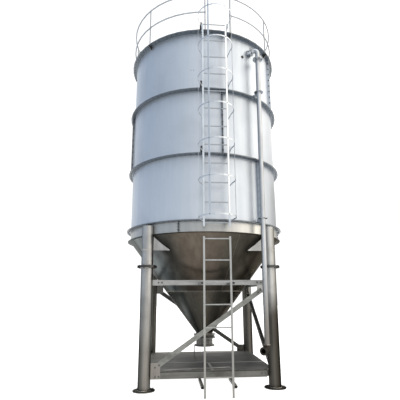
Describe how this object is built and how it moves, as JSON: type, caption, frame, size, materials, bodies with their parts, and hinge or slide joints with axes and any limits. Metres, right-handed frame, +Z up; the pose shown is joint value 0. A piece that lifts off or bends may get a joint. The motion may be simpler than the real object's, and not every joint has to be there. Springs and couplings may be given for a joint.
{
  "type": "grain silo",
  "caption": "Bolted stainless grain silo: flanged round tank on a conical hopper and pipe legs, with ladders, safety cage, roof guard rail and fill pipe.",
  "frame": {"origin": "middle of the silo's overall footprint on the ground, at the underside of the base plates", "axes": "+Z up, -Y towards the front with the ladder and cage, +X to the right seen from the front; the tank's own axis stands at y = 0.413"},
  "size_m": [3.852, 4.6786, 8.94],
  "materials": {
    "rolled_stainless": "rolled sheet, blue-grey, semi-bright",
    "hopper_stainless": "bright rolled sheet that mirrors the ground",
    "pipe_stainless": "drawn pipe, stained towards the ground",
    "brace_steel": "mill finish, matt",
    "beam_steel": "mill finish, dusty",
    "deck_sheet": "thin sheet, dusty and slightly wavy",
    "rail_steel": "light grey, satin"
  },
  "bodies": {
    "root": {"top_ring_front": "rolled_stainless", "top_ring_back": "rolled_stainless", "middle_ring_front_left": "rolled_stainless", "middle_ring_front_right": "rolled_stainless", "middle_ring_back_left": "rolled_stainless", "middle_ring_back_right": "rolled_stainless", "lower_ring_front": "rolled_stainless", "lower_ring_back": "rolled_stainless", "skirt": "rolled_stainless", "roof": "rolled_stainless", "roof_cover": "rolled_stainless", "hopper_upper": "hopper_stainless", "hopper_lower": "hopper_stainless", "outlet_collar": "hopper_stainless", "front_left_leg": "pipe_stainless", "front_right_leg": "pipe_stainless", "back_right_leg": "pipe_stainless", "back_left_leg": "pipe_stainless", "front_left_leg_top": "pipe_stainless", "front_right_leg_top": "pipe_stainless", "back_right_leg_top": "pipe_stainless", "back_left_leg_top": "pipe_stainless", "front_brace": "brace_steel", "right_brace": "brace_steel", "back_brace": "brace_steel", "left_brace": "brace_steel", "front_diagonal": "brace_steel", "right_diagonal": "brace_steel", "back_diagonal": "brace_steel", "left_diagonal": "brace_steel", "front_beam": "beam_steel", "right_beam": "beam_steel", "back_beam": "beam_steel", "left_beam": "beam_steel", "deck_left": "deck_sheet", "deck_right": "deck_sheet", "lower_ladder": "rail_steel", "upper_ladder": "rail_steel", "cage": "rail_steel", "guard_rail_left": "rail_steel", "guard_rail_right": "rail_steel", "guard_rail_back": "rail_steel", "fill_pipe": "pipe_stainless", "fill_pipe_top_elbow": "pipe_stainless", "fill_pipe_inlet": "pipe_stainless"}
  },
  "joints": []
}
